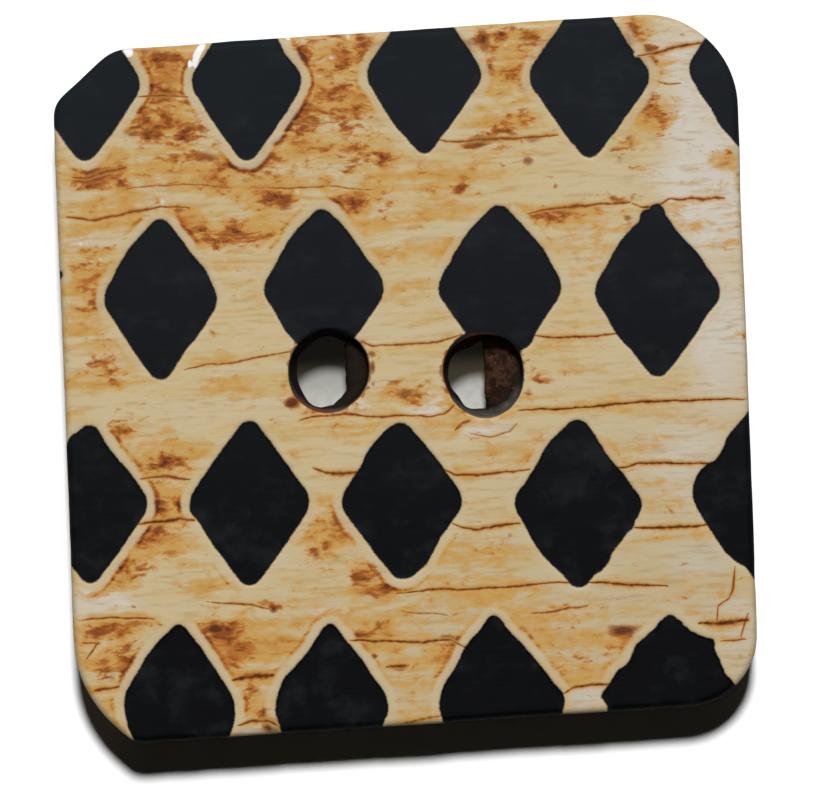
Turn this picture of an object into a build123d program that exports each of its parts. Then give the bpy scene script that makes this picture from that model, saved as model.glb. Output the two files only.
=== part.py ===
from build123d import *
import os
from math import atan2, ceil, cos, hypot, sin

# A square sew-through button, sawn from a plate of bone and drilled with two thread holes.
# Staggered rows of diamonds are dyed black on its face, each etched a little below the polish.
# Millimetres. +Z leaves the patterned face, +Y points to its top side, and the back lies on Z = 0.

# Plate, measured over its farthest corners before they were rounded
width = 28.3
height = 28.9
thickness = 3.3
face_edge_round = 0.35
back_edge_round = 0.30

# The saw ran a little out of square: each lean is counted over a whole side
left_lean = 0.25
right_lean = 0.32
top_rise = 0.45
bottom_rise = 0.48

# No two corners are alike: the left ones are cut off and softened, the right ones only rubbed round
top_cut_across = 2.5
top_cut_down = 2.15
top_cut_rounds = (1.8, 1.0)
bottom_cut_across = 2.3
bottom_cut_up = 2.2
bottom_cut_rounds = (5.0, 0.8)
top_right_round = 3.8
bottom_right_round = 2.9

# Thread holes, drilled on a line along the rows of diamonds
bore_radius = 1.6
hole_spacing = 6.3
hole_line_rise = 0.31
hole_line_slide = -0.01
face_rim_round = 0.18
back_rim_round = 0.15

# Rows of diamonds, turned against the plate and staggered by half a pitch
pattern_turn = -2.8
column_pitch = 6.8
row_pitch = 8.4
pattern_slide = 0.43
pattern_rise = -0.48
diamond_width = 4.85
diamond_height = 6.5
tip_round = 0.5
side_round = 0.95
side_swell = 0.08
dye_bite = 0.06
least_showing = 0.5

# The resist was laid by hand, so each diamond strays: row, column, across, up, wider, taller
strays = [
    (0, -2, 0.0, -0.12, -0.3, -0.15),
    (0, -1, -0.18, 0.0, -0.35, 0.05),
    (0, 0, 0.3, 0.3, -0.15, -0.05),
    (0, 1, 0.28, 0.22, 0.1, 0.2),
    (0, 2, 0.0, 0.5, 0.05, 0.2),
    (1, -1, -0.3, -0.54, -0.2, 0.15),
    (1, 0, -0.4, -0.12, 0.05, 0.15),
    (1, 1, 0.0, -0.05, 0.2, 0.25),
    (1, 2, -0.32, -0.25, 0.3, 0.45),
    (2, -2, 0.2, -0.51, -0.15, 0.05),
    (2, -1, -0.06, -0.49, 0.05, 0.3),
    (2, 0, -0.61, -0.4, 0.1, -0.05),
    (2, 1, -0.13, -0.51, 0.35, 0.4),
    (2, 2, 0.1, -0.05, 0.05, -0.4),
    (3, -1, 0.45, 0.2, -0.15, -0.9),
    (3, 0, -0.05, 0.05, -0.15, -0.5),
    (3, 1, 0.05, 0.25, 0.25, -0.4),
    (3, 2, 0.1, 0.4, 0.65, -0.7),
]


def plate_outline():
    """The sawn outline with its four unlike corners."""
    left, right, bottom, top = -width / 2, width / 2, -height / 2, height / 2
    upper_left, upper_top = left + left_lean, top - top_rise
    corners = [
        ((left, bottom + bottom_cut_up), bottom_cut_rounds[0]),
        ((left + bottom_cut_across, bottom), bottom_cut_rounds[1]),
        ((right - right_lean, bottom + bottom_rise), bottom_right_round),
        ((right, top), top_right_round),
        ((upper_left + top_cut_across, upper_top), top_cut_rounds[0]),
        ((upper_left, upper_top - top_cut_down), top_cut_rounds[1]),
    ]
    points = [point for point, _ in corners]
    rounds = [corner_round for _, corner_round in corners]
    return make_face(FilletPolyline(*points, radius=rounds, close=True))


def hole_centres():
    """The two thread holes' places, turned with the pattern."""
    turn = Rot(0, 0, pattern_turn)
    across = (hole_line_slide - hole_spacing / 2, hole_line_slide + hole_spacing / 2)
    return [turn * Pos(x, hole_line_rise, thickness / 2) for x in across]


def drilled_plate():
    """The plate with its thread holes drilled through."""
    plate = extrude(plate_outline(), thickness)
    for centre in hole_centres():
        plate -= centre * Cylinder(bore_radius, 2 * thickness)
    return plate


def eased(plate, side, edge_round, rim_round):
    """Round the outer edge and the hole rims on one side: 0 is the back, -1 the face."""
    outer = plate.faces().sort_by(Axis.Z)[side].outer_wire()
    plate = fillet(outer.edges(), edge_round)
    inner = plate.faces().sort_by(Axis.Z)[side].inner_wires()
    rims = [edge for wire in inner for edge in wire.edges()]
    return fillet(rims, rim_round)


def diamond(mark_width, mark_height):
    """A diamond with swelling sides and softened corners, as wide and as tall over the rounds as asked."""
    lean = atan2(mark_width, mark_height)
    swing = 2 * atan2(4 * side_swell, hypot(mark_width, mark_height))
    half_width = mark_width / 2 + side_round * (1 / cos(lean - swing) - 1)
    half_height = mark_height / 2 + tip_round * (1 / sin(lean + swing) - 1)
    corners = [(0, half_height), (half_width, 0), (0, -half_height), (-half_width, 0)]
    sides = [SagittaArc(a, b, side_swell) for a, b in zip(corners, corners[1:] + corners[:1])]
    mark = make_face(sides)
    mark = fillet(mark.vertices().sort_by(Axis.Y)[::3], tip_round)
    across = mark.vertices().sort_by(Axis.X)
    return fillet([across[0], across[-1]], side_round)


def diamond_marks():
    """Every diamond that shows on the plate, as a shallow prism to cut from its face."""
    rows = ceil(height / row_pitch)
    reach = ceil(width / 2 / column_pitch)
    stray = {(row, column): change for row, column, *change in strays}
    marks = []
    for row in range(rows):
        line = pattern_rise + ((rows - 1) / 2 - row) * row_pitch
        stagger = (row % 2) / 2
        for column in range(-reach, reach + 1):
            across, up, wider, taller = stray.get((row, column), (0, 0, 0, 0))
            x = pattern_slide + (column - stagger) * column_pitch + across
            mark_width = diamond_width + wider
            if abs(x) - mark_width / 2 > width / 2 - least_showing:
                continue
            mark = extrude(diamond(mark_width, diamond_height + taller), 2 * dye_bite)
            marks.append(Rot(0, 0, pattern_turn) * Pos(x, line + up, thickness - dye_bite) * mark)
    return marks


def button():
    """The finished button."""
    plate = drilled_plate()
    plate = eased(plate, -1, face_edge_round, face_rim_round)
    plate = eased(plate, 0, back_edge_round, back_rim_round)
    return plate - diamond_marks()


os.makedirs("parts", exist_ok=True)
export_step(button(), "parts/button.step")
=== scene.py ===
"""The look of a square sew-through button of bone: polished cream and amber bone with
resist-dyed black diamonds, rust-coloured stains, fine cracks along the grain and two worn thread holes.

Shapes are worked out in millimetres in the button's own frame and put into metres by MM.
Marks that were read off the photograph are listed in its pixels and placed on the face by seen().
"""

import math
from functools import partial
from itertools import product

import bmesh
import bpy
import numpy as np
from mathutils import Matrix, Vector
from mathutils.geometry import delaunay_2d_cdt


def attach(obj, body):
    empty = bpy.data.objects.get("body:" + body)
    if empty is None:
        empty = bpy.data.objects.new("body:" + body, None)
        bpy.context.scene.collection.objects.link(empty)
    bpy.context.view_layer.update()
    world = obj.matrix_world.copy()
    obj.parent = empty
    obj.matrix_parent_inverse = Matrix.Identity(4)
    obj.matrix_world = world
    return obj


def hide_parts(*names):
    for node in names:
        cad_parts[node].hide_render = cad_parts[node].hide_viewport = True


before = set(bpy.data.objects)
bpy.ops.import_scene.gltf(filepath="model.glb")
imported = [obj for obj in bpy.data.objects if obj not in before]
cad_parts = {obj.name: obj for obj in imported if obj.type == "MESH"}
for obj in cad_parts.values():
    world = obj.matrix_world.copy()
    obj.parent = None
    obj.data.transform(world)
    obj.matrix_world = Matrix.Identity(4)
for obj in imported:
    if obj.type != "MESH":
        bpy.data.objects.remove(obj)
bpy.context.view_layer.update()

MM = 0.001

# Photograph: its frame, where the button's centre lies in it, how far the button is turned, and its scale
PHOTO_WIDTH_PX = 819
PHOTO_HEIGHT_PX = 798
CENTRE_PX = (406.2, 377.2)
TURN = math.radians(2.8)
MM_PER_PX = 0.041
CAMERA_DISTANCE = 400.0

# Lamps: shares of a plain level of light, and angles in degrees, bearings clockwise from the button's top
KEY_SHARE = 0.75
KEY_BEARING = 4.5
KEY_ELEVATION = 62.0
KEY_SPREAD = 8.0
FILL_SHARE = 0.12
FILL_BEARING = 55.0
FILL_ELEVATION = 45.0
FILL_SPREAD = 60.0
WORLD_STRENGTH = 0.004

# Mesh fineness, in millimetres and in counts
FINE_STEP = 0.1
COARSE_FACTOR = 2
FINE_BAND = 0.17
FINE_SPOT = 0.15
CRACK_ROWS = (-1.6, -0.8, 0.0, 0.8, 1.6)
CRACK_CLEARING = 2.2
BACK_STEP = 0.5
RIM_STEP = 0.13
REDRAWN_STEP = 0.1
BORE_POINTS = 120

# A distance that counts as far away, and how near a hole's edge its wall lies, in millimetres
FAR = 9.0
WALL_REACH = 0.6

# How the CAD button's faces are told apart: by their normal's z, and by depth in millimetres
UPRIGHT = 0.02
NEARLY_UPRIGHT = 0.05
LEVEL = 0.999
DEEPEST_DYE = 0.3
WELD = 0.0005

# Relief of the face and form of the thread holes, in millimetres
DYE_RAMP = 0.05
STAIN_DEPTH = 0.025
UNDULATION = 0.012
CRACK_WIDTH = 0.045
CRACK_DEPTH = 0.014
BORE_RIM_OPENING = 0.1
BORE_RIM_DEPTH = 0.4
BORE_TAPER = 0.22
BORE_TAPER_DEPTH = 1.8

# Wear of the left and the right thread hole: its bearing from the right in degrees, then in millimetres how
# far it opens the rim, how far what lies deeper, from what depth, and how far the other side closes in
BORE_WEAR = [
    (-115.0, 0.14, 0.18, 0.9, 0.0),
    (-78.0, 0.34, 0.34, 1.0, 0.24),
]

# Residue in the right side of the left and the right thread hole: how far from the centre it begins, between
# which depths, in millimetres, how fast it widens toward the hole's lower side, and how brown it is
RESIDUE = [
    (0.7, 0.6, 2.9, 1.1, 0.15),
    (0.1, 0.9, 2.6, 0.0, 1.0),
]
RESIDUE_BEND_START = 0.7

# Dye and resist, in millimetres
HALO_WIDTH = 0.37
DYE_DRIP = 0.35
STRAY_EDGE = 0.035
SPUR_BLEND = 0.3

# The lower right diamond is frayed: its centre in the photograph's pixels, the rest in millimetres
FRAYED_CENTRE = (665, 660)
FRAYED_REACH = 2.6
FRAYED_EDGE = 0.1

# How far noise bends the stains and the dark spots, in millimetres, and its seed for the spots
STAIN_WARP = 0.35
SPOT_WARP = 0.08
SPOT_SEED = 71

# Cracks along the grain: darkness from 0 to 1, width against CRACK_WIDTH, and points in the photograph
CRACKS = [
    (0.55, 1.2, [(58, 217), (95, 220), (128, 213), (160, 207), (190, 208)]),
    (0.45, 1, [(184, 369), (210, 364), (233, 363), (262, 357), (290, 352)]),
    (0.6, 1.1, [(360, 340), (372, 346), (400, 345), (436, 343), (452, 338), (462, 334)]),
    (0.75, 1.1, [(535, 336), (560, 338), (590, 336), (617, 333)]),
    (0.65, 1.1, [(300, 420), (318, 416), (344, 414), (372, 417), (405, 415), (430, 417), (446, 413),
                (455, 405)]),
    (1, 1.2, [(518, 410), (550, 409), (590, 407), (630, 403), (672, 400), (712, 400), (747, 399)]),
    (0.65, 1.2, [(443, 469), (455, 475), (476, 475), (500, 473), (530, 469)]),
    (1, 1.3, [(617, 469), (636, 464), (655, 463), (680, 463), (712, 464)]),
    (0.8, 1.2, [(452, 523), (462, 528), (480, 529), (500, 526), (520, 524)]),
    (1, 1.6, [(634, 528), (655, 528), (680, 527), (707, 525)]),
    (0.7, 1.2, [(396, 594), (430, 590), (470, 589), (510, 587), (545, 584), (572, 582)]),
    (0.85, 1.2, [(589, 582), (620, 584), (645, 585), (668, 586)]),
    (0.35, 0.8, [(402, 612), (430, 614), (448, 615)]),
    (0.55, 0.9, [(530, 614), (552, 612), (572, 608), (588, 606)]),
    (0.75, 1.2, [(350, 641), (380, 641), (420, 642), (440, 640), (452, 640), (466, 648)]),
    (0.7, 1.3, [(386, 667), (397, 666), (408, 666)]),
    (1, 2.8, [(233, 680), (245, 678), (258, 676), (273, 675)]),
    (0.55, 0.8, [(206, 601), (225, 603), (250, 604), (271, 609)]),
    (0.6, 0.9, [(76, 621), (95, 619), (112, 618), (140, 618), (154, 619)]),
    (0.5, 0.9, [(78, 643), (100, 644)]),
    (0.7, 1.2, [(89, 692), (104, 690), (119, 687)]),
    (0.5, 1, [(86, 660), (93, 651), (98, 642)]),
    (1, 1.9, [(139, 524), (150, 523), (166, 521), (180, 518), (194, 520)]),
    (0.6, 1, [(140, 479), (165, 477), (190, 479)]),
    (0.7, 1.4, [(313, 468), (325, 472), (342, 474), (360, 472)]),
    (0.95, 2.4, [(699, 623), (718, 623), (748, 620)]),
    (0.65, 0.8, [(735, 566), (733, 590), (729, 598), (718, 606), (717, 620)]),
    (0.65, 0.9, [(749, 611), (745, 622), (741, 636)]),
    (0.5, 0.7, [(720, 641), (746, 640)]),
    (0.75, 1.1, [(564, 693), (575, 688), (590, 685), (612, 684)]),
    (0.55, 1, [(402, 724), (425, 719), (444, 715)]),
    (0.7, 1.2, [(638, 56), (655, 53), (672, 48), (690, 45), (703, 43)]),
    (0.6, 0.7, [(656, 82), (668, 84), (681, 83)]),
    (0.55, 1.4, [(528, 214), (545, 210), (566, 208), (600, 204), (630, 202)]),
    (0.7, 1, [(630, 202), (641, 207), (657, 206), (668, 199)]),
    (0.6, 1.2, [(668, 199), (690, 199), (724, 198)]),
    (0.55, 1.2, [(438, 140), (460, 142), (490, 139), (520, 138), (558, 135)]),
    (0.7, 1.3, [(238, 726), (252, 720), (268, 721), (279, 727)]),
    (0.5, 1.2, [(455, 431), (462, 424), (470, 421)]),
    (0.35, 0.8, [(470, 434), (490, 437), (510, 432), (517, 424)]),
    (0.4, 0.8, [(250, 187), (290, 189), (330, 186), (372, 190)]),
    (0.45, 1, [(138, 97), (160, 95), (188, 97)]),
    (0.5, 1.4, [(72, 178), (88, 178), (104, 172), (126, 168)]),
    (0.35, 0.9, [(210, 234), (236, 236), (262, 232)]),
    (0.35, 0.8, [(120, 190), (150, 186), (190, 184), (232, 188)]),
    (0.35, 0.7, [(290, 120), (316, 124), (340, 122)]),
]

# Soft amber washes in the photograph's pixels: centre, half sizes, strength
WASHES = [
    (168, 95, 38, 68, 0.92), (300, 95, 74, 74, 0.82), (235, 175, 120, 30, 0.75), (100, 190, 50, 34, 0.85),
    (245, 235, 75, 26, 0.65), (500, 85, 42, 70, 0.4), (640, 85, 24, 66, 0.5), (84, 300, 30, 56, 0.5),
    (95, 360, 52, 34, 0.36), (560, 222, 52, 18, 0.6), (130, 445, 42, 34, 0.8), (152, 515, 34, 46, 0.9),
    (120, 575, 36, 28, 1), (210, 578, 36, 20, 0.7), (332, 540, 34, 46, 0.6), (392, 585, 80, 14, 0.8),
    (500, 578, 70, 12, 0.5), (106, 645, 40, 34, 1), (130, 670, 16, 34, 0.9), (228, 650, 36, 46, 0.95),
    (370, 630, 40, 22, 0.55), (470, 548, 50, 36, 0.55), (352, 400, 120, 26, 0.35), (250, 440, 120, 60, 0.2),
    (430, 230, 60, 70, 0.35), (560, 340, 50, 26, 0.3), (256, 705, 12, 30, 0.8), (480, 420, 60, 40, 0.35),
    (300, 640, 60, 46, 0.6), (640, 588, 50, 12, 0.4), (450, 190, 40, 22, 0.5), (330, 250, 180, 60, 0.3),
    (104, 715, 22, 16, 0.6), (400, 395, 16, 14, 0.9), (430, 650, 340, 56, 0.56), (420, 480, 40, 40, 0.6),
    (280, 203, 26, 18, 0.95), (352, 203, 28, 20, 0.95), (320, 186, 40, 8, 0.8), (190, 230, 16, 20, 0.9),
    (130, 225, 18, 18, 0.8), (600, 262, 44, 26, 0.3), (366, 570, 20, 16, 0.7), (726, 160, 14, 14, 0.45),
    (548, 470, 120, 70, 0.34),
]

# Clusters of rust-brown flecks, listed as the washes are
RUST = [
    (164, 62, 24, 18, 0.8), (166, 96, 24, 9, 0.9), (150, 128, 22, 22, 0.7), (190, 140, 26, 26, 0.75),
    (100, 174, 32, 8, 1), (296, 50, 12, 16, 0.9), (366, 46, 12, 20, 0.9), (330, 40, 40, 8, 0.7),
    (300, 120, 34, 22, 0.8), (330, 96, 26, 14, 0.8), (350, 130, 22, 30, 0.75), (384, 163, 26, 11, 1),
    (262, 160, 26, 16, 0.7), (216, 168, 24, 16, 0.6), (275, 200, 18, 14, 0.85), (358, 207, 26, 16, 0.85),
    (205, 232, 14, 12, 0.8), (240, 238, 34, 9, 0.75), (168, 206, 22, 5, 0.7), (480, 40, 16, 14, 1),
    (506, 34, 36, 8, 0.8), (528, 36, 14, 12, 0.9), (491, 62, 6, 16, 0.8), (474, 144, 15, 10, 1),
    (500, 134, 36, 16, 0.75), (528, 122, 13, 10, 0.8), (526, 162, 12, 10, 0.6), (510, 174, 9, 11, 0.6),
    (459, 192, 12, 9, 0.75), (634, 30, 11, 14, 1), (651, 54, 13, 13, 0.85), (652, 112, 12, 24, 0.8),
    (626, 150, 12, 14, 0.7), (726, 160, 11, 9, 0.6), (556, 216, 28, 8, 0.8), (624, 197, 16, 6, 0.75),
    (630, 218, 6, 5, 0.8), (86, 282, 17, 9, 0.65), (88, 306, 15, 9, 0.7), (96, 256, 18, 16, 0.55),
    (112, 360, 22, 18, 0.7), (120, 430, 11, 12, 0.9), (162, 466, 24, 12, 1), (165, 478, 28, 4, 0.6),
    (160, 506, 8, 12, 0.8), (181, 504, 7, 9, 0.7), (150, 531, 20, 12, 0.8), (138, 568, 8, 8, 0.9),
    (162, 556, 16, 6, 0.7), (124, 574, 20, 12, 0.6), (330, 530, 26, 24, 0.5), (314, 554, 8, 7, 0.8),
    (366, 580, 14, 12, 0.75), (386, 594, 26, 5, 0.6), (362, 630, 9, 5, 0.7), (378, 622, 6, 9, 0.5),
    (220, 630, 17, 12, 1), (236, 648, 14, 13, 0.7), (254, 690, 7, 10, 0.7), (252, 710, 8, 8, 0.6),
    (96, 632, 20, 8, 0.9), (132, 624, 22, 6, 0.75), (112, 676, 13, 13, 0.8), (129, 652, 9, 22, 0.6),
    (268, 722, 10, 5, 0.9), (618, 632, 20, 5, 0.6), (452, 640, 13, 4, 0.9), (408, 394, 20, 12, 0.55),
    (388, 384, 8, 9, 0.5), (375, 368, 5, 16, 0.4), (536, 384, 11, 14, 0.75), (442, 376, 6, 22, 0.5),
    (310, 408, 24, 7, 0.7), (298, 404, 10, 8, 0.8), (458, 412, 10, 8, 0.6), (186, 584, 5, 5, 0.3),
    (212, 337, 4, 4, 0.7), (230, 298, 5, 6, 0.5), (434, 598, 6, 5, 0.5), (273, 610, 5, 4, 1),
    (344, 166, 10, 8, 0.7), (245, 172, 22, 8, 0.5), (560, 182, 6, 5, 0.5), (567, 645, 44, 40, 0.25),
    (600, 475, 30, 20, 0.3), (560, 380, 30, 20, 0.3), (520, 70, 16, 24, 0.6), (160, 120, 26, 30, 0.6),
    (270, 140, 40, 24, 0.6), (340, 66, 18, 34, 0.6), (290, 90, 30, 20, 0.55), (700, 150, 20, 14, 0.35),
]

# Dark spots in the stains, listed as the washes are
SPOTS = [
    (215, 630, 11, 4.5, 1.4), (228, 628, 7, 3.5, 1.1), (272, 610, 4, 3, 1.3), (272, 726, 10, 7, 1.5),
    (232, 644, 7, 5, 0.5), (138, 569, 4, 4, 0.7), (112, 676, 8, 10, 0.5), (126, 650, 7, 5, 0.5),
    (255, 641, 7, 4, 0.35), (288, 630, 8, 3, 0.3), (298, 642, 8, 3, 0.3), (256, 690, 5, 5, 0.45),
    (98, 632, 13, 4, 0.65), (136, 624, 16, 4, 0.5), (378, 624, 4, 5, 0.6), (361, 633, 8, 5, 0.5),
    (447, 640, 9, 4, 0.8), (398, 667, 8, 3, 1.2), (432, 600, 5, 5, 0.4), (510, 534, 4, 3, 0.5),
    (624, 630, 14, 6, 1.2), (600, 634, 12, 3, 0.4), (478, 626, 4, 2, 0.4), (563, 635, 6, 3, 0.4),
    (568, 646, 24, 2, 0.3), (574, 672, 10, 4, 0.35), (412, 682, 4, 4, 0.3), (334, 515, 5, 4, 0.5),
    (318, 523, 4, 3, 0.4), (315, 554, 5, 6, 0.55), (349, 530, 10, 3, 0.45), (341, 560, 14, 6, 0.4),
    (358, 580, 6, 8, 0.6), (375, 580, 9, 5, 0.4), (372, 594, 16, 5, 0.4), (405, 394, 10, 6, 0.75),
    (396, 386, 8, 8, 0.35), (418, 396, 8, 3, 0.3), (388, 336, 4, 3, 0.3), (363, 343, 5, 6, 0.5),
    (372, 356, 4, 3, 0.75), (373, 368, 3, 6, 1.1), (374, 383, 3, 3, 0.65), (537, 379, 5, 4, 0.6),
    (528, 391, 5, 5, 0.5), (527, 371, 3, 3, 0.5), (466, 423, 5, 3, 0.5), (284, 386, 4, 4, 0.4),
    (292, 402, 7, 5, 1.4), (443, 366, 3, 8, 0.4), (446, 391, 3, 6, 0.45), (157, 97, 7, 4, 0.7),
    (145, 53, 5, 6, 0.6), (174, 60, 7, 4, 0.5), (207, 158, 15, 8, 0.6), (188, 128, 7, 4, 0.5),
    (131, 133, 14, 5, 0.55), (306, 112, 6, 4, 0.6), (316, 124, 16, 6, 0.45), (271, 156, 7, 4, 0.85),
    (245, 180, 12, 4, 0.5), (285, 203, 8, 8, 0.7), (228, 192, 4, 4, 0.4), (234, 222, 5, 3, 0.6),
    (100, 173, 16, 5, 0.7), (88, 178, 8, 4, 0.8), (192, 180, 8, 4, 0.45), (146, 208, 8, 4, 0.6),
    (178, 208, 8, 3, 0.6), (332, 97, 14, 8, 0.5), (478, 141, 12, 7, 1.2), (497, 139, 12, 5, 0.8),
    (532, 138, 9, 5, 0.85), (484, 42, 6, 12, 0.95), (528, 38, 14, 5, 0.6), (505, 49, 10, 3, 0.5),
    (634, 28, 5, 9, 0.8), (649, 52, 7, 7, 0.95), (655, 62, 3, 6, 0.6), (529, 161, 6, 5, 0.85),
    (459, 193, 8, 6, 0.4), (556, 185, 4, 4, 0.4), (647, 113, 6, 9, 0.45), (632, 143, 3, 12, 0.4),
    (622, 158, 5, 5, 0.45), (614, 197, 5, 4, 0.5), (633, 198, 4, 4, 0.55), (629, 218, 5, 4, 0.75),
    (577, 260, 5, 6, 0.45), (705, 233, 7, 3, 0.35),
]

# Pale, worn or wax-kept places, listed as the washes are
PALE = [
    (706, 150, 46, 120, 1.2), (720, 330, 40, 90, 0.8), (700, 560, 60, 40, 0.42), (740, 640, 30, 60, 0.55),
    (424, 408, 24, 7, 1), (345, 405, 22, 14, 0.9), (488, 428, 30, 9, 1), (252, 728, 11, 6, 1),
    (98, 600, 46, 12, 0.8), (84, 240, 22, 10, 0.6), (164, 200, 9, 8, 0.9), (246, 404, 90, 12, 0.4),
    (620, 490, 60, 50, 0.35), (620, 250, 120, 60, 0.3), (590, 700, 26, 14, 0.8), (332, 612, 24, 10, 0.8),
    (690, 450, 70, 70, 0.6), (690, 60, 46, 40, 1.1), (80, 158, 30, 12, 0.5),
]

# Where the dye ran past a diamond's side, and where the resist bit into it: place and radius, in pixels
DYE_SPURS = [
    (58.5, 275, 5), (424, 146, 8), (626, 523, 9), (96, 565, 8), (657, 212, 8), (648, 218, 9),
    (594, 562, 12), (599, 556, 12),
]
DYE_NICKS = [(450, 147, 9), (637, 54, 3.5), (286, 47, 3), (630, 548, 9), (597, 587, 9), (560, 586, 9)]

# Where the hand-laid resist strayed: place, reach, and the dye's edge's move right and down, in pixels
NUDGES = [
    (630, 45, 22, -2.5, 2), (724, 130, 18, -1.8, 1.6), (286, 52, 12, -2, 1.4),
    (395, 125, 25, -1.5, 1), (122, 250, 25, -3.2, -2), (210, 268, 16, 2.2, -1.4),
    (185, 352, 14, -1.6, -1), (293, 235, 28, -4, -2.5), (333, 214, 8, -1.6, 1.6),
    (382, 272, 10, 1.2, -0.8), (288, 330, 14, -2.2, 1), (467, 232, 30, -3.4, -2.4),
    (542, 244, 28, 3, -2), (530, 342, 10, 3.4, 2), (621, 240, 30, -4.2, -2.6),
    (674, 230, 20, -2.6, 2), (708, 318, 20, -1.6, -1), (614, 335, 16, -1.5, 1),
    (110, 452, 26, -2.8, 2), (71, 438, 8, -3, -2), (306, 490, 14, 1.2, 0), (191, 513, 9, -1.2, 0),
    (371, 449, 15, -4, -2.4), (386, 434, 12, -3, -2), (427, 565, 18, 4.4, 3),
    (548, 442, 28, -4.2, -2.6), (518, 494, 14, -1.6, 0), (540, 548, 28, -3.8, 2.5),
    (615, 456, 28, -3.6, 2.4), (636, 490, 13, -2.2, 0),
]

# Diamonds at the lower and the right edge that strayed the most, drawn anew and past the edge as well
REDRAWN = [
    [(176, 624), (167, 632), (156, 643), (149, 652), (142, 665), (133, 679), (126, 690), (123, 702),
     (125, 716), (129, 730), (137, 748), (225, 748), (230, 736), (234, 727), (236, 713), (235, 702),
     (231, 692), (222, 679), (213, 665), (202, 648), (192, 635), (185, 627), (181, 624)],
    [(330, 622), (323, 627), (317, 636), (311, 648), (301, 660), (288, 673), (282, 681), (278, 692),
     (275, 703), (275, 713), (278, 722), (283, 740), (380, 740), (383, 724), (388, 714), (389, 705),
     (387, 697), (381, 687), (374, 678), (366, 664), (356, 652), (347, 641), (339, 631), (335, 624)],
    [(492, 614), (487, 617), (482, 627), (471, 639), (464, 648), (459, 661), (450, 675), (443, 687),
     (440, 698), (439, 709), (442, 720), (446, 738), (560, 738), (563, 711), (566, 701), (564, 693),
     (561, 689), (553, 681), (543, 668), (532, 654), (521, 642), (508, 629), (501, 618), (497, 614)],
    [(749, 410), (740, 422), (727, 436), (722, 449), (714, 461), (705, 465), (697, 473), (693, 484),
     (692, 496), (695, 506), (702, 518), (710, 530), (718, 542), (724, 552), (735, 561), (747, 568),
     (754, 580), (780, 600), (780, 380)],
    [(669, 613), (677, 617), (684, 625), (694, 631), (704, 637), (716, 640), (713, 648), (718, 657),
     (723, 670), (735, 684), (756, 708), (740, 750), (606, 750), (607, 707), (605, 702), (599, 697),
     (605, 690), (612, 680), (616, 671), (628, 662), (633, 653), (637, 642), (646, 634), (657, 627),
     (662, 620)],
]

# Painted highlights: white painted where the polish glints at the top edge, listed as the washes are
PAINTED_GLINTS = [
    (199, 52, 5, 16, 1), (190, 62, 4, 6, 0.9), (131, 53, 5, 7, 1), (284, 42, 7, 5, 1.4),
    (182, 49, 4, 3, 0.6),
]

# Painted highlights: bright specks where the polish sparkles in the stains, painted near white: place and
# radius, in pixels
PAINTED_SPARKLES = [
    (163, 201, 4.5), (151, 208, 2.5), (198, 177, 2.5), (161, 146, 3), (297, 192, 4), (348, 36, 3.5),
    (100, 259, 3.5), (150, 543, 2.5), (506, 44, 3), (512, 42, 2.5), (518, 131, 2.5), (526, 131, 2.5),
    (332, 57, 3.5), (120, 178, 2.5), (362, 416, 3), (340, 414, 2.5), (80, 245, 3), (92, 238, 3),
]

# Red residue on a thread hole's rim: place and reach, in pixels
RED = [(317, 406, 6.5), (305, 400, 5), (326, 409, 4)]


def seen(px, py):
    """A place on the face, in millimetres, from the photograph's pixels."""
    right, up = (px - CENTRE_PX[0]) * MM_PER_PX, (CENTRE_PX[1] - py) * MM_PER_PX
    return np.array([
        right * math.cos(TURN) + up * math.sin(TURN),
        up * math.cos(TURN) - right * math.sin(TURN),
    ])


def noise(points, size, seed):
    """Smooth noise from -1 to 1 with features of the given size, the same in every run."""
    cell = np.asarray(points, float) / size
    base = np.floor(cell).astype(np.int64)
    part = cell - base
    part = part * part * (3 - 2 * part)
    primes = np.array([73856093, 19349663, 83492791])[: base.shape[1]]
    total = np.zeros(len(base))
    for corner in product((0, 1), repeat=base.shape[1]):
        key = ((base + corner) * primes).sum(axis=1) + seed * 40503
        key = (key ^ (key >> 13)) * 1274126177 & 0xFFFFFFFF
        key = (key ^ (key >> 15)) * 668265263 & 0xFFFFFFFF
        value = ((key >> 9) & 0xFFFF) / 32767.5 - 1
        total += value * np.where(corner, part, 1 - part).prod(axis=1)
    return total


def smooth_step(value, low, high):
    """0 below low, 1 above high, and a soft ramp between."""
    part = np.clip((value - low) / (high - low), 0, 1)
    return part * part * (3 - 2 * part)


def face_groups(faces):
    """Splits faces into groups that share edges."""
    left, groups = set(faces), []
    for seed in faces:
        if seed not in left:
            continue
        left.discard(seed)
        group = [seed]
        for face in group:
            for edge in face.edges:
                for other in edge.link_faces:
                    if other in left:
                        left.discard(other)
                        group.append(other)
        groups.append(group)
    return groups


def places(group):
    """The corners of a group of faces, each once, as rows of x, y, z."""
    return np.array(sorted({tuple(vert.co) for face in group for vert in face.verts}))


def diamond_planes(group):
    """The sides of one dyed diamond, as rows of nx, ny, offset: negative inside all of them."""
    centre = places(group)[:, :2].mean(axis=0)
    inside = set(group)
    rows = []
    for face in group:
        for edge in face.edges:
            others = [other for other in edge.link_faces if other not in inside]
            if not others or abs(others[0].normal.z) > NEARLY_UPRIGHT:
                continue
            a, b = (np.array(vert.co)[:2] for vert in edge.verts)
            side = np.array([b[1] - a[1], a[0] - b[0]]) / np.linalg.norm(b - a)
            side *= np.sign(side @ (a - centre))
            rows.append((*side, side @ a))
    return np.array(rows)


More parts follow.
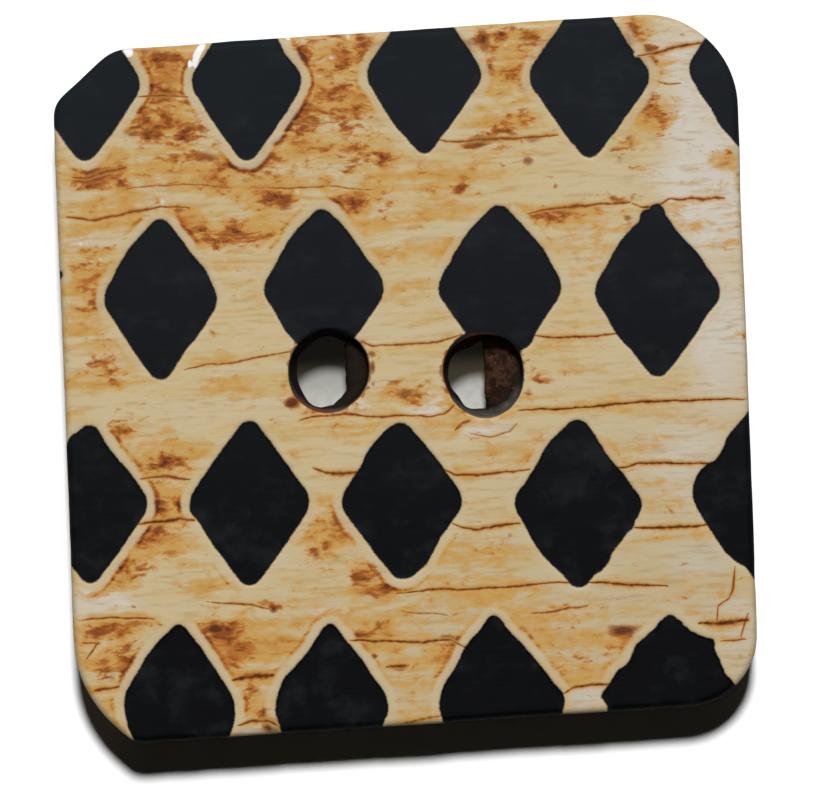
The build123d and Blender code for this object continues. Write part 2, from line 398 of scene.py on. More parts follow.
def read_plate(node):
    """The CAD button's outline, edge rounds, thread holes and diamonds."""
    bm = bmesh.new()
    bm.from_mesh(node.data)
    bmesh.ops.scale(bm, vec=Vector((1 / MM,) * 3), verts=bm.verts)
    bmesh.ops.remove_doubles(bm, verts=bm.verts, dist=WELD)
    bm.normal_update()
    top = max(vert.co.z for vert in bm.verts)
    upright = face_groups([face for face in bm.faces if abs(face.normal.z) < UPRIGHT])
    walls = [points for points in map(places, upright) if np.ptp(points[:, 2]) > top / 2]
    walls.sort(key=lambda points: -np.ptp(points[:, 0]))
    outline = walls[0][walls[0][:, 2] > top / 2]
    middle = (outline.min(axis=0) + outline.max(axis=0)) / 2
    around = np.arctan2(outline[:, 1] - middle[1], outline[:, 0] - middle[0])
    bores = []
    for points in sorted(walls[1:], key=lambda points: points[:, 0].min()):
        low, high = points.min(axis=0), points.max(axis=0)
        bores.append(((low + high)[:2] / 2, (high - low)[0] / 2))
    floors = [
        face for face in bm.faces
        if face.normal.z > LEVEL and 0.01 < top - face.calc_center_median().z < DEEPEST_DYE
    ]
    plate = {
        "top": top,
        "bite": top - floors[0].calc_center_median().z,
        "outline": outline[np.argsort(around)][:, :2],
        "face_round": top - outline[:, 2].max(),
        "back_round": walls[0][:, 2].min(),
        "bores": bores,
        "diamonds": [diamond_planes(group) for group in face_groups(floors)],
    }
    bm.free()
    return plate


def run_along(line):
    """How far along a line each of its points lies."""
    return np.concatenate([[0], np.cumsum(np.linalg.norm(np.diff(line, axis=0), axis=1))])


def points_at(line, along):
    """The points of a line at the given distances along it."""
    run = run_along(line)
    return np.stack([np.interp(along, run, line[:, axis]) for axis in (0, 1)], axis=1)


def even_loop(points, step):
    """A closed line through the points, with corners a little softened, at even steps."""
    closed = np.vstack([points, points[:1]])
    length = run_along(closed)[-1]
    loop = points_at(closed, np.linspace(0, length, round(length / step), endpoint=False))
    for _ in range(4):
        loop = (np.roll(loop, 1, axis=0) + 2 * loop + np.roll(loop, -1, axis=0)) / 4
    return loop


def right_of(along):
    """Unit vectors to the right of the given directions."""
    side = np.stack([along[:, 1], -along[:, 0]], axis=1)
    return side / np.linalg.norm(side, axis=1)[:, None]


def outward(loop):
    """Unit vectors out of a loop that runs counter-clockwise."""
    return right_of(np.roll(loop, -2, axis=0) - np.roll(loop, 2, axis=0))


def line_distance(points, line, units=None):
    """Distance from each point to a line of straight pieces, in each piece's own unit if units are given."""
    nearest = np.full(len(points), np.inf)
    for a, b, unit in zip(line[:-1], line[1:], np.ones(len(line)) if units is None else units):
        along = b - a
        part = np.clip(((points - a) @ along) / (along @ along), 0, 1)
        nearest = np.minimum(nearest, np.linalg.norm(points - a - part[:, None] * along, axis=1) / unit)
    return nearest


def inside(points, shape):
    """True for points inside a closed shape."""
    crossings = np.zeros(len(points), int)
    for a, b in zip(shape, np.roll(shape, -1, axis=0)):
        level = (a[1] > points[:, 1]) != (b[1] > points[:, 1])
        rise = b[1] - a[1] if b[1] != a[1] else 1.0
        crossings += level & (points[:, 0] < a[0] + (points[:, 1] - a[1]) * (b[0] - a[0]) / rise)
    return crossings % 2 == 1


def shape_distance(points, shape):
    """Distance from each point to a closed shape's outline, negative inside."""
    away = line_distance(points, np.vstack([shape, shape[:1]]))
    return np.where(inside(points, shape), -away, away)


def crack_lines():
    """Each crack as (darkness, width, jagged line in millimetres)."""
    lines = []
    for number, (darkness, width, path) in enumerate(CRACKS):
        corners = np.array([seen(*point) for point in path])
        length = run_along(corners)[-1]
        along = np.linspace(0, length, max(3, round(length / FINE_STEP)))
        line = points_at(corners, along)
        wander = np.stack([along, np.full(len(along), number * 7.3)], axis=1)
        line[:, 1] += 0.035 * noise(wander, 0.5, 11) + 0.015 * noise(wander, 0.16, 12)
        lines.append((darkness, width, line))
    return lines


def blobs(points, table, seed, warp=STAIN_WARP):
    """How strongly the soft blobs of a table cover each point, bent by a warp in millimetres."""
    cover = np.zeros(len(points))
    warped = points + warp * np.stack([noise(points, 1.1, seed), noise(points, 0.7, seed + 1)], axis=1)
    for px, py, across, up, strength in table:
        away = warped - seen(px, py)
        size = np.array([across, up]) * MM_PER_PX
        cover = np.maximum(cover, strength * np.exp(-0.9 * ((away / size) ** 2).sum(axis=1)))
    return cover


def dots(points, table):
    """How strongly the round dots of a table cover each point."""
    return sum(
        np.exp(-((points - seen(px, py)) ** 2).sum(axis=1) / (radius * MM_PER_PX) ** 2)
        for px, py, radius in table
    )


class Face:
    """The fields that shape and colour the button's face, worked out at any points in millimetres."""

    def __init__(self, plate):
        self.plate = plate
        self.cracks = crack_lines()
        self.redrawn = []
        for shape in REDRAWN:
            self.redrawn.append(even_loop(np.array([seen(*point) for point in shape]), REDRAWN_STEP))

    def dye(self, flat):
        """Distance to the nearest diamond's edge: negative inside the dye."""
        nearest = np.full(len(flat), FAR)
        for shape in self.redrawn:
            nearest = np.minimum(nearest, shape_distance(flat, shape))
        placed = flat
        for px, py, reach, right, down in NUDGES:
            away = np.linalg.norm(placed - seen(px, py), axis=1) / (reach * MM_PER_PX)
            placed = placed - np.exp(-away ** 2)[:, None] * (seen(px + right, py + down) - seen(px, py))
        for rows in self.plate["diamonds"]:
            if all((shape.mean(axis=0) @ rows[:, :2].T > rows[:, 2]).any() for shape in self.redrawn):
                nearest = np.minimum(nearest, (placed @ rows[:, :2].T - rows[:, 2]).max(axis=1))
        for px, py, radius in DYE_SPURS:
            spur = np.linalg.norm(flat - seen(px, py), axis=1) - radius * MM_PER_PX
            blend = np.clip(0.5 - (spur - nearest) / SPUR_BLEND, 0, 1)
            nearest = nearest + (spur - nearest) * blend - SPUR_BLEND / 4 * blend * (1 - blend)
        for px, py, radius in DYE_NICKS:
            nearest = np.maximum(nearest, radius * MM_PER_PX - np.linalg.norm(flat - seen(px, py), axis=1))
        fringe = np.exp(-((flat - seen(*FRAYED_CENTRE)) ** 2).sum(axis=1) / FRAYED_REACH ** 2)
        ragged = 0.6 * noise(flat, 0.55, 21) + 0.4 * noise(flat, 0.2, 22)
        return nearest + (STRAY_EDGE + FRAYED_EDGE * fringe) * ragged

    def crack(self, flat):
        """For each point: distance to the nearest crack in crack widths, and that crack's darkness."""
        nearest, dark = np.full(len(flat), FAR), np.zeros(len(flat))
        for darkness, width, line in self.cracks:
            reach = 10 * CRACK_WIDTH * width
            low, high = line.min(axis=0) - reach, line.max(axis=0) + reach
            near = np.flatnonzero(((flat > low) & (flat < high)).all(axis=1))
            part = np.linspace(0, 1, len(line))
            taper = 0.3 + 0.7 * np.sin(math.pi * part) ** 0.6
            taper *= 1 + 0.35 * noise(line, 0.9, 13)
            away = line_distance(flat[near], line, CRACK_WIDTH * width * taper)
            closer = away < nearest[near]
            nearest[near[closer]] = away[closer]
            dark[near[closer]] = darkness
        return nearest, dark

    def bore(self, flat):
        """Distance outside the nearest thread hole's wall."""
        bores = self.plate["bores"]
        return np.min([np.linalg.norm(flat - centre, axis=1) - radius for centre, radius in bores], axis=0)

    def relief(self, flat, dye, crack, dark, rust):
        """How far the face lies below the plate's top."""
        dyed = 1 - smooth_step(dye, -DYE_RAMP, DYE_RAMP)
        kept = 1 - smooth_step(dye, HALO_WIDTH - 0.06, HALO_WIDTH + 0.08)
        rough = noise(flat * [0.6, 1], 0.22, 31) + 0.6 * noise(flat * [0.5, 1], 0.11, 32)
        sunk = UNDULATION * (1 + noise(flat, 2.6, 33)) / 2
        sunk += self.plate["bite"] * dyed
        sunk += (1 - kept) * STAIN_DEPTH * (rust * (0.9 + 0.5 * rough) + 0.12 * rough)
        sunk += CRACK_DEPTH * (0.35 + 0.65 * dark) * np.exp(-crack ** 2) * (dark > 0)
        return np.maximum(sunk, 0)


def grid(low, high, step):
    """A triangular grid of points over a rectangle, with each point's row and column."""
    rows = np.arange(round((high[1] - low[1]) / (step * math.sqrt(3) / 2)) + 1)
    columns = np.arange(round((high[0] - low[0]) / step) + 1)
    row, column = (each.ravel() for each in np.meshgrid(rows, columns, indexing="ij"))
    across = low[0] + (column + (row % 2) / 2) * step
    return np.stack([across, low[1] + row * step * math.sqrt(3) / 2], axis=1), row, column


def triangles(points, loops):
    """Delaunay triangles of the free points within the first loop and outside the others."""
    everything = np.vstack([*loops, points])
    edges, start = [], 0
    for loop in loops:
        edges += [(start + i, start + (i + 1) % len(loop)) for i in range(len(loop))]
        start += len(loop)
    result = delaunay_2d_cdt([Vector(point) for point in everything], edges, [], 1, 1e-5)
    flat = np.array([tuple(vert) for vert in result[0]])
    faces = np.array(result[2])
    for loop in loops[1:]:
        faces = faces[~inside(flat[faces].mean(axis=1), loop)]
    return flat, faces, [ids[0] for ids in result[3]]


def band(upper, lower):
    """Four-sided faces that join two rings of as many points."""
    return zip(upper, lower, np.roll(lower, -1), np.roll(upper, -1))


def ring(flat, height):
    """A ring's points from its flat loop and its height or heights."""
    return np.column_stack([flat, np.broadcast_to(height, len(flat))])


def edge_profile(plate):
    """Steps down the outer edge from face to back: (inset, height)."""
    top, face, back = plate["top"], plate["face_round"], plate["back_round"]
    quarter = math.pi / 2
    steps = [(face * (1 - math.sin(a)), top - face * (1 - math.cos(a))) for a in np.linspace(0, quarter, 8)]
    steps += [(0, height) for height in np.linspace(top - face, back, 14)[1:-1]]
    steps += [(back * (1 - math.sin(a)), back * (1 - math.cos(a))) for a in np.linspace(quarter, 0, 6)]
    return steps


def bore_profile(plate):
    """Steps down a thread hole from face to back: (outset, height)."""
    top = plate["top"]
    steps = []
    for depth in (0, 0.03, 0.08, 0.15, 0.25, BORE_RIM_DEPTH):
        steps.append((BORE_RIM_OPENING * (1 - math.sqrt(depth / BORE_RIM_DEPTH)) ** 1.3, top - depth))
    for depth in np.linspace(BORE_RIM_DEPTH, top - 0.18, 26)[1:]:
        taper = float(smooth_step(depth, BORE_RIM_DEPTH, BORE_TAPER_DEPTH))
        steps.append((-BORE_TAPER * taper, top - depth))
    steps += [(0.03 - BORE_TAPER, 0.08), (0.09 - BORE_TAPER, 0.02), (0.15 - BORE_TAPER, 0)]
    return steps


def fouled(number, across, depth):
    """A thread hole's ring about its centre at one depth, cut off where residue fills its right side."""
    reach, start, end, bend, _ = RESIDUE[number]
    place = np.column_stack([across, np.full(len(across), depth)])
    lump = 0.07 * noise(place, 0.45, 80 + number) + 0.035 * noise(place, 0.16, 90 + number)
    swell = smooth_step(depth, start, start + 0.5) * (1 - smooth_step(depth, end, end + 0.4))
    reach = reach - bend * np.clip(-across[:, 1] - RESIDUE_BEND_START, 0, None) ** 2
    beyond = np.clip(across[:, 0] - reach - lump, 0, None)
    return across - np.stack([beyond, 0 * beyond], axis=1) * swell


def face_points(field, low, high):
    """Points over the face, close together at the dye's edges, cracks, spots and thread holes."""
    free, row, column = grid(low, high, FINE_STEP)
    dye = field.dye(free)
    crack, _ = field.crack(free)
    kept = (row % COARSE_FACTOR == 0) & (column % COARSE_FACTOR == 0)
    kept |= np.abs(dye) < FINE_BAND
    kept |= np.abs(dye - HALO_WIDTH) < FINE_BAND / 2
    kept |= crack * CRACK_WIDTH < FINE_BAND
    kept |= blobs(free, SPOTS, SPOT_SEED, SPOT_WARP) > FINE_SPOT
    kept |= field.bore(free) < 3 * FINE_BAND
    lines = []
    for _, width, line in field.cracks:
        across = right_of(np.gradient(line, axis=0))
        lines += [line + across * offset * CRACK_WIDTH * width for offset in CRACK_ROWS]
    return np.vstack([free[kept & (crack > CRACK_CLEARING)], *lines])


def button_shell(plate, field):
    """The button's whole closed surface: points in millimetres and faces."""
    top = plate["top"]
    gathered, faces = [], []
    rim = even_loop(plate["outline"], RIM_STEP)
    side = outward(rim)
    worn = 0.025 * noise(rim, 3.0, 41) + 0.012 * noise(rim, 0.8, 42) - 0.015

    def edge_ring(inset, height):
        return ring(rim - side * (inset + worn * (0.4 + 0.6 * height / top))[:, None], height)

    angles = np.linspace(0, 2 * math.pi, BORE_POINTS, endpoint=False)
    spokes = np.stack([np.cos(angles), np.sin(angles)], axis=1)

    def bore_ring(number, outset, height):
        centre, radius = plate["bores"][number]
        place = np.column_stack([spokes * radius, np.full(BORE_POINTS, height * 0.6)])
        uneven = 0.03 * noise(place, 0.9, 50 + number) + 0.012 * noise(place, 0.3, 60 + number)
        lip = outset * (1 + 0.5 * noise(spokes * radius, 0.8, 70 + number))
        bearing, at_rim, deeper, depth, closed = BORE_WEAR[number]
        toward = spokes @ [math.cos(math.radians(bearing)), math.sin(math.radians(bearing))]
        worn_by = at_rim + (deeper - at_rim) * smooth_step(top - height, 0.0, depth)
        lip = lip + worn_by * np.clip(toward, 0, 1) ** 2 - closed * np.clip(-toward, 0, 1) ** 2
        across = spokes * (radius + lip + uneven)[:, None]
        return ring(centre + fouled(number, across, top - height), height)

    def add(points):
        first = sum(map(len, gathered))
        gathered.append(points)
        return np.arange(first, first + len(points))

    walls = [(edge_ring, edge_profile(plate))]
    for number in range(len(plate["bores"])):
        walls.append((partial(bore_ring, number), bore_profile(plate)))

    rings = []
    for end, step, height in ((0, FINE_STEP, top), (-1, BACK_STEP, 0.0)):
        loops = [ring_at(*steps[end])[:, :2] for ring_at, steps in walls]
        low, high = loops[0].min(axis=0), loops[0].max(axis=0)
        free = face_points(field, low, high) if end == 0 else grid(low, high, step)[0]
        free = free[inside(free, loops[0] - outward(loops[0]) * (step / 2))]
        for loop in loops[1:]:
            free = free[shape_distance(free, loop) > step / 2]
        flat, corners, sources = triangles(free, loops)
        numbers = add(ring(flat, height))
        number_of = dict(zip(sources, numbers))
        start, here = 0, []
        for loop in loops:
            here.append([number_of[start + i] for i in range(len(loop))])
            start += len(loop)
        rings.append(here)
        faces += [tuple(numbers[three]) for three in (corners if end == 0 else corners[:, ::-1])]

    for (ring_at, steps), upper, last in zip(walls, *rings):
        for lower in (*(add(ring_at(*step)) for step in steps[1:-1]), last):
            faces += band(upper, lower) if ring_at is edge_ring else band(lower, upper)
            upper = lower
    return np.vstack(gathered), faces


def new_piece(name, points, faces):
    """A smooth-shaded object from points in millimetres, riding on the one body."""
    mesh = bpy.data.meshes.new(name)
    mesh.from_pydata((points * MM).tolist(), [], faces)
    mesh.validate()
    mesh.shade_smooth()
    piece = bpy.data.objects.new(name, mesh)
    bpy.context.scene.collection.objects.link(piece)
    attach(piece, "root")
    return piece


def make_button(plate):
    """The dressed button, which stands for the plain CAD one."""
    field = Face(plate)
    points, faces = button_shell(plate, field)
    flat = points[:, :2].copy()
    down = plate["top"] - points[:, 2]
    dye = field.dye(flat)
    crack, dark = field.crack(flat)
    rust = blobs(flat, RUST, 61)
    on_face = 1 - smooth_step(down, 0.0, 1.5 * plate["face_round"])
    points[:, 2] -= field.relief(flat, dye, crack, dark, rust) * on_face * (down < plate["top"] / 2)
    piece = new_piece("bone_button", points, faces)

    drip = DYE_DRIP * (1 + 0.35 * noise(flat, 1.3, 67))
    bore = field.bore(flat)
    on_wall = (down > 0) & (bore < WALL_REACH)
    in_bore = np.where(on_wall, np.minimum(bore, 0.1 - down), bore)
    brown = np.where(flat[:, 0] > 0, RESIDUE[1][-1], RESIDUE[0][-1])
    at_rim = smooth_step(0.12 - in_bore, 0, 0.08) * (1 - smooth_step(down, 0.7, 1.4))
    marks = {
        "dye": np.maximum(dye, 0.8 * (down - drip)),
        "crack": np.minimum(crack + 2.0 * smooth_step(down, 0.3, 1.2), FAR),
        "crack_dark": dark * on_face,
        "rust": rust * on_face,
        "spot": blobs(flat, SPOTS, SPOT_SEED, SPOT_WARP) * on_face,
        "wash": blobs(flat, WASHES, 63) * (0.4 + 0.6 * on_face),
        "pale": blobs(flat, PALE, 65) * on_face,
        # Painted highlights: where white glints are painted at the top edge
        "painted_glint": blobs(flat, PAINTED_GLINTS, 69) * (down < 0.7 * plate["face_round"]),
        # Painted highlights: where sparkling specks are painted in the stains
        "painted_sparkle": dots(flat, PAINTED_SPARKLES) * on_face,
        "bore": in_bore,
        # Where a hole's wall is worn open; it is painted lighter, partly wear and partly a painted sheen
        "worn": np.clip(bore / 0.12, 0, 1) * on_wall * (1 - smooth_step(down, 0.8, 1.9)),
        "crust": brown * smooth_step(-bore, 0.06, 0.16),
        "red": np.clip(dots(flat, RED), 0, 1) * at_rim,
        "side": smooth_step(down, 0.1, 0.4) * (bore > WALL_REACH),
    }
    for name, values in marks.items():
        kept = piece.data.attributes.new(name, "FLOAT", "POINT").data
        kept.foreach_set("value", np.asarray(values, np.float32))
    piece.data.materials.append(bone_material())
    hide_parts("button")
    return piece


def colour(red, green, blue):
    """A shader colour from the 0 to 255 values that it shows on a screen."""
    shown = (red / 255, green / 255, blue / 255)
    linear = [c / 12.92 if c <= 0.04045 else ((c + 0.055) / 1.055) ** 2.4 for c in shown]
    return (*linear, 1.0)


class Shader:
    """A short way to write a material: each call adds nodes and gives their output."""

    def __init__(self, name):
        self.material = bpy.data.materials.new(name)
        self.material.use_nodes = True
        self.tree = self.material.node_tree
        self.tree.nodes.clear()

    def add(self, kind, sources, output=0, **settings):
        """A node, its settings, and what feeds its sockets by number or name."""
        node = self.tree.nodes.new("ShaderNode" + kind)
        for name, value in settings.items():
            setattr(node, name, value)
        for socket, source in sources.items():
            if isinstance(source, bpy.types.NodeSocket):
                self.tree.links.new(source, node.inputs[socket])
            else:
                node.inputs[socket].default_value = source
        return node.outputs[output]

    def math(self, operation, a, b=0.0):
        """One sum on two numbers."""
        return self.add("Math", {0: a, 1: b}, operation=operation)

    def mix(self, factor, a, b):
        """From colour a to colour b as factor goes from 0 to 1."""
        return self.add("Mix", {0: factor, 6: a, 7: b}, output=2, data_type="RGBA")

    def total(self, *terms):
        """A sum of (value, weight) or (value, weight, middle), which counts from its middle."""
        running = None
        for value, weight, *middle in terms:
            sources = {0: value, 1: weight, 2: -weight * sum(middle)}
            part = self.add("Math", sources, operation="MULTIPLY_ADD")
            running = part if running is None else self.math("ADD", running, part)
        return running

    def ramp(self, value, low, high, start=0.0, end=1.0):
        """A soft step from start to end as value goes from low to high."""
        sources = {0: value, 1: low, 2: high, 3: start, 4: end}
        return self.add("MapRange", sources, interpolation_type="SMOOTHSTEP")

    def field(self, name):
        """A number that the mesh keeps for each point."""
        return self.add("Attribute", {}, output=2, attribute_name=name)

    def place(self, stretch):
        """The point on the piece, in millimetres, each axis times its stretch."""
        where = self.add("TexCoord", {}, output=3)
        scale = [each / MM for each in stretch]
        return self.add("Mapping", {0: where, 3: scale})

    def axis(self, number):
        """The point's place along one axis of the piece, in millimetres."""
        return self.add("SeparateXYZ", {0: self.place(EVEN)}, output=number)

    def pattern(self, name):
        """Noise from 0 to 1, with what PATTERNS says of it."""
        stretch, *settings = PATTERNS[name]
        sources = dict(zip(("Scale", "Detail", "Roughness", "Distortion"), settings))
        return self.add("TexNoise", {"Vector": self.place(stretch), **sources})

    def lay(self, name, base, marks):
        """Lays a name's colours in LAYERS over a base where the marks are strong."""
        for tint, low, high, most in LAYERS[name]:
            base = self.mix(self.ramp(marks, low, high, 0.0, most), base, tint)
        return base

    def bump(self, height, distance, normal=None):
        """A normal bent by a height, on top of another normal if one is given."""
        sources = {"Strength": 1.0, "Distance": distance, "Height": height}
        return self.add("Bump", sources if normal is None else {**sources, "Normal": normal})

    def finish(self, surface):
        """Ends the material with its surface."""
        output = self.tree.nodes.new("ShaderNodeOutputMaterial")
        self.tree.links.new(surface, output.inputs[0])
        return self.material


CREAM = colour(210, 191, 151)
CREAM_WARM = colour(209, 181, 126)
CREAM_PALE = colour(216, 208, 193)
GRAIN = colour(182, 142, 88)
SHADE_GREY = colour(156, 150, 138)
AMBER = colour(206, 158, 82)
ORANGE = colour(184, 110, 42)
RUST_BROWN = colour(144, 76, 30)
MAROON = colour(90, 44, 26)
HALO = colour(206, 188, 152)
CRACK_BROWN = colour(92, 42, 8)
# The dye's colour at the top, with a painted sheen
DYE_WITH_SHEEN = colour(24, 28, 33)
DYE_LOWER = colour(1, 2, 4)
DYE_FADED = colour(48, 52, 54)
BORE_DARK = colour(30, 27, 23)
CRUST_DARK = colour(38, 25, 18)
CRUST_BROWN = colour(74, 48, 34)
CRUST_TAN = colour(100, 76, 52)
WORN_SHEEN_GREY = colour(112, 108, 100)
RED_RESIDUE = colour(134, 42, 24)
WHITE = (1.0, 1.0, 1.0, 1.0)
# Painted highlight colour of the sparkling specks
SPARKLE_WHITE = colour(236, 226, 208)
FLOOR_TO_CAMERA = (1.4, 1.4, 1.4, 1.0)
FLOOR_TO_LIGHT = colour(64, 64, 62)
HOLE_FLOOR = colour(214, 215, 209)
HOLE_FLOOR_UPPER = colour(178, 179, 173)
HOLE_FLOOR_SPECKLED = colour(160, 160, 154)
# Painted light: the glow that the floor gives off in the holes' shade
HOLE_PAINTED_LIGHT = colour(58, 54, 44)
HOLE_PAINTED_LIGHT_UPPER = colour(18, 17, 14)

SPECULAR_LEVEL = 0.08
BONE_ROUGHNESS = 0.38
DYE_ROUGHNESS = 0.62
PORE_BUMP = 0.009
SAWN_BUMP = 0.04
STAIN_BUMP = 0.05

# Noise: the stretch of each axis, then its scale, detail, roughness and distortion
EVEN = (1, 1, 1)
PATTERNS = {
    "grain": ((0.16, 1, 1), 4.5, 5, 0.62, 0.25),
    "streak": ((0.16, 1, 1), 1.3, 4, 0.6, 0.6),
    "cloud": ((0.58, 1, 1), 0.8, 4, 0.55),
    "fleck": ((0.58, 1, 1), 2.3, 5, 0.62, 0.5),
    "dash": ((0.45, 1, 1), 5, 3, 0.58, 0.3),
    "wobble": (EVEN, 1.6, 3),
    "fine wobble": (EVEN, 5, 3),
    "crack": (EVEN, 4, 3),
    "rim": (EVEN, 3.5, 4),
    "faded": (EVEN, 1.1, 5, 0.6),
    "frayed": (EVEN, 14, 2),
    "scuffed": ((1, 1, 2.5), 1.1, 2),
    "lump": (EVEN, 2.6, 5, 0.62),
    "small lump": (EVEN, 5.5, 3, 0.6),
    "rubbed": ((0.05, 1, 1), 9, 3, 0.6),
    "pore": ((0.09, 1, 1), 11, 4, 0.65),
    "sawn": ((1.5, 1.5, 0.25), 3, 4, 0.6),
    "floor": (EVEN, 3, 5, 0.6),
}

# Colours laid over one another: the colour, the marks at which it starts and ends to come up, and its most
LAYERS = {
    "warm": [(CREAM_WARM, 0.35, 0.68, 1)],
    "pale": [(CREAM_PALE, 0.1, 0.9, 1)],
    "grain": [(GRAIN, 0.48, 0.72, 0.5)],
    "painted_shade": [(SHADE_GREY, 0, 16, 0.2)],
    "stain": [(AMBER, 0.05, 0.55, 0.92), (ORANGE, 0.5, 1.05, 0.92)],
    "fine": [(ORANGE, 0.4, 0.8, 0.85), (RUST_BROWN, 0.66, 1.06, 0.92), (MAROON, 1.02, 1.38, 0.9)],
    "spot": [(RUST_BROWN, 0.2, 0.65, 0.8), (MAROON, 0.65, 1, 0.85)],
    "painted_sparkle": [(SPARKLE_WHITE, 0.35, 0.95, 0.8)],
    # Painted sheen: the dye lightens towards the top, where the lamp stands
    "dye": [(DYE_WITH_SHEEN, -10, 13, 1)],
    "faded": [(DYE_FADED, 0.95, 1.35, 0.25)],
    "lump": [(CRUST_BROWN, 0.4, 0.62, 1)],
    "small lump": [(CRUST_TAN, 0.6, 0.7, 0.8)],
    "hole floor": [(HOLE_FLOOR_UPPER, -1.3, 0.3, 1)],
    "speckled": [(HOLE_FLOOR_SPECKLED, 0.3, 0.7, 0.3)],
    "painted_light": [(HOLE_PAINTED_LIGHT_UPPER, 0.1, 1, 1)],
}

# A crack's soaked bands and its line: the crack widths at which each starts and ends to fade, its most, and
# how dark a crack shows it in full
CRACK_BANDS = [(0.6, 4.5, 0.9, 0.9), (0.4, 2.4, 0.8, 0.7), (0, 1.4, 1, 0.5)]


def bone_material():
    """Polished bone, its dye, stains and cracks, with painted highlights, painted sheen and painted shade.
    """
    s = Shader("bone")
    names = ("dye", "rust", "wash", "pale", "crack", "crack_dark", "bore", "crust", "side")
    dye, rust, wash, pale, crack, dark, bore, crust, side = map(s.field, names)
    across, up = s.axis(0), s.axis(1)
    names = ("grain", "streak", "cloud", "fleck", "dash")
    grain, streak, cloud, fleck, dash = map(s.pattern, names)

    base = s.lay("warm", CREAM, streak)
    base = s.lay("pale", base, s.total((pale, 1), (cloud, 0.7, 0.5)))
    base = s.lay("grain", base, grain)
    # Painted shade: the bone is painted darker and greyer towards the lower right
    base = s.lay("painted_shade", base, s.total((across, 0.5), (up, -1)))

    wobble = s.total((s.pattern("wobble"), 0.22, 0.5), (s.pattern("fine wobble"), 0.1, 0.5))
    ragged = s.math("ADD", dye, wobble)
    off_border = s.math("ABSOLUTE", s.math("SUBTRACT", ragged, HALO_WIDTH + 0.08))
    edge = s.math("MULTIPLY", s.ramp(off_border, 0.02, 0.13, 1, 0), s.ramp(wash, 0.2, 0.8))
    stain = s.total((wash, 0.66), (rust, 0.4), (edge, 0.4), (streak, 1.7, 0.5), (cloud, 0.9, 0.5))
    base = s.lay("stain", base, s.math("ADD", stain, s.total((fleck, 1.5, 0.5))))
    fine = s.total((rust, 0.9), (wash, 0.25), (edge, 0.45), (fleck, 2.2, 0.5), (dash, 1.8, 0.5))
    base = s.lay("fine", base, fine)
    base = s.lay("spot", base, s.total((s.field("spot"), 1), (fleck, 0.8, 0.5)))

    kept = s.ramp(ragged, HALO_WIDTH - 0.12, HALO_WIDTH + 0.05, 1, 0)
    base = s.mix(s.math("MULTIPLY", kept, s.ramp(wash, 0, 0.6, 0.3, 0.88)), base, HALO)

    # Painted highlights: the colour turns white where the polish glints, near the dye
    near_dye = s.ramp(dye, HALO_WIDTH, HALO_WIDTH + 0.08, 1, 0)
    base = s.mix(s.math("MULTIPLY", s.ramp(s.field("painted_glint"), 0.35, 0.6), near_dye), base, WHITE)
    # Painted highlights: near-white specks of sparkle in the stains
    base = s.lay("painted_sparkle", base, s.total((s.field("painted_sparkle"), 1), (fleck, 1.6, 0.5)))

    thin = s.total((crack, 1), (s.pattern("crack"), 2.2, 0.5))
    line = s.mix(s.ramp(dark, 0.4, 0.9), RUST_BROWN, CRACK_BROWN)
    for tint, (near, far, most, full) in zip((AMBER, ORANGE, line), CRACK_BANDS):
        shown = s.math("MULTIPLY", s.ramp(thin, near, far, most, 0), s.ramp(dark, 0, full))
        base = s.mix(shown, base, tint)

    rim = s.ramp(s.total((bore, 1), (s.pattern("rim"), 0.7, 0.5)), 0.06, 0.15, 1, 0)
    base = s.mix(s.math("MULTIPLY", rim, 0.75), base, RUST_BROWN)

    # Painted sheen: the black of the dye is painted lighter towards the top
    black = s.lay("dye", DYE_LOWER, up)
    black = s.lay("faded", black, s.total((cloud, 1), (s.pattern("faded"), 1)))
    frayed = s.total((dye, 1), (s.pattern("frayed"), 0.08, 0.5))
    dyed = s.ramp(frayed, -0.045, 0.045, 1, 0)
    base = s.mix(dyed, base, black)

    wall = s.ramp(bore, 0.02, 0.08, 1, 0)
    # The worn wall is painted lighter grey in streaks: partly wear, partly a painted sheen where the lamp
    # lights it
    scuffed = s.math("MULTIPLY", s.field("worn"), s.ramp(s.pattern("scuffed"), 0.25, 0.7, 0.2))
    base = s.mix(wall, base, s.mix(scuffed, BORE_DARK, WORN_SHEEN_GREY))
    clotted = s.lay("lump", CRUST_DARK, s.pattern("lump"))
    clotted = s.lay("small lump", clotted, s.pattern("small lump"))
    base = s.mix(crust, base, clotted)
    red = s.math("MULTIPLY", s.field("red"), s.ramp(fleck, 0.3, 0.5, 0.3))
    base = s.mix(red, base, RED_RESIDUE)

    polish = s.ramp(dyed, 0, 1, BONE_ROUGHNESS, DYE_ROUGHNESS)
    rubbed = s.total((s.pattern("rubbed"), -0.16, 0.5), (rust, 0.1), (crust, 0.1))
    rough = s.total((polish, 1), (rubbed, 1), (wall, 0.45), (side, 0.35))
    normal = s.bump(s.total((s.pattern("pore"), 0.5), (grain, 0.3)), PORE_BUMP * MM)
    normal = s.bump(s.math("MULTIPLY", s.pattern("sawn"), side), SAWN_BUMP * MM, normal)
    stained = s.math("ADD", s.total((rust, 0.8), (wash, 0.15), (crust, 3)), 0.05)
    normal = s.bump(s.math("MULTIPLY", fleck, stained), STAIN_BUMP * MM, normal)
    sockets = {"Base Color": base, "Roughness": rough}
    sockets |= {"Specular IOR Level": SPECULAR_LEVEL, "Normal": normal}
    return s.finish(s.add("BsdfPrincipled", sockets))


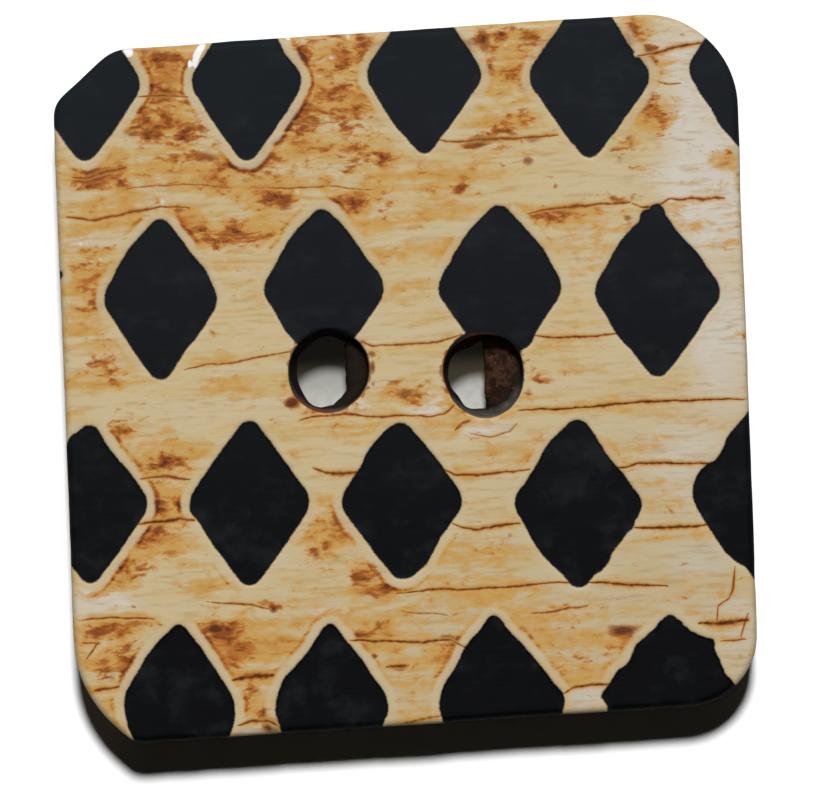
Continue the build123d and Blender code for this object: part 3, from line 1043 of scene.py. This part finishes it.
def make_floor():
    """A pale floor, white to the camera, and grey, darker towards the top, where only the thread holes show
    it, with a faint glow of painted light there in the holes' shade.
    """
    s = Shader("floor")
    from_centre = s.add("VectorMath", {0: s.place(EVEN)}, output=1, operation="LENGTH")
    near = s.ramp(from_centre, 5, 7, 1, 0)
    up = s.axis(1)
    grey = s.lay("speckled", s.lay("hole floor", HOLE_FLOOR, up), s.pattern("floor"))
    direct = 0
    for kind in ("Camera", "Glossy", "Transmission"):
        direct = s.math("MAXIMUM", direct, s.add("LightPath", {}, output=f"Is {kind} Ray"))
    shown = s.mix(direct, FLOOR_TO_LIGHT, FLOOR_TO_CAMERA)
    lit = s.add("BsdfDiffuse", {0: s.mix(near, shown, grey)})
    # Painted light: a faint emission near the centre lights the floor in the holes' shade, brighter towards
    # the bottom
    painted_light = s.add("Emission", {0: s.lay("painted_light", HOLE_PAINTED_LIGHT, up), 1: near})
    bpy.ops.mesh.primitive_plane_add(size=1.6)
    floor = bpy.context.object
    floor.name = "floor"
    floor.data.materials.append(s.finish(s.add("AddShader", {0: lit, 1: painted_light})))


def make_sun(name, bearing, elevation, share, spread):
    """A sun that gives a level surface its share of a plain level of light."""
    lamp = bpy.data.lights.new(name, "SUN")
    lamp.energy = math.pi * share / math.sin(math.radians(elevation))
    lamp.angle = math.radians(spread)
    sun = bpy.data.objects.new(name, lamp)
    bpy.context.scene.collection.objects.link(sun)
    a, e = math.radians(bearing), math.radians(elevation)
    place = Vector((math.sin(a) * math.cos(e), math.cos(a) * math.cos(e), math.sin(e)))
    sun.location = 0.3 * place
    sun.rotation_euler = (-place).to_track_quat("-Z", "Y").to_euler()
    return sun


def make_lights(piece):
    """A small bright key from the photograph's top, and soft fills that light only the piece."""
    world = bpy.data.worlds.new("studio")
    world.use_nodes = True
    world.node_tree.nodes["Background"].inputs[0].default_value = WHITE
    world.node_tree.nodes["Background"].inputs[1].default_value = WORLD_STRENGTH
    bpy.context.scene.world = world
    make_sun("key", KEY_BEARING, KEY_ELEVATION, KEY_SHARE, KEY_SPREAD)
    linked = bpy.data.collections.new("lit_by_fills")
    linked.objects.link(piece)
    for name, bearing in (("fill_left", -FILL_BEARING), ("fill_right", FILL_BEARING)):
        fill = make_sun(name, bearing, FILL_ELEVATION, FILL_SHARE / 2, FILL_SPREAD)
        fill.light_linking.receiver_collection = linked


def make_camera(plate):
    """The photograph's view: straight down, and turned and shifted a little against the button."""
    camera = bpy.data.cameras.new("camera")
    camera.lens = camera.sensor_width * CAMERA_DISTANCE / (PHOTO_WIDTH_PX * MM_PER_PX)
    camera.clip_start, camera.clip_end = 1 * MM, 2.0
    view = bpy.data.objects.new("camera", camera)
    bpy.context.scene.collection.objects.link(view)
    x, y = seen(PHOTO_WIDTH_PX / 2, PHOTO_HEIGHT_PX / 2)
    view.location = (x * MM, y * MM, (plate["top"] + CAMERA_DISTANCE) * MM)
    view.rotation_euler = (0, 0, -TURN)
    bpy.context.scene.camera = view


plate = read_plate(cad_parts["button"])
button = make_button(plate)
make_floor()
make_lights(button)
make_camera(plate)
bpy.context.scene.view_settings.view_transform = "Standard"
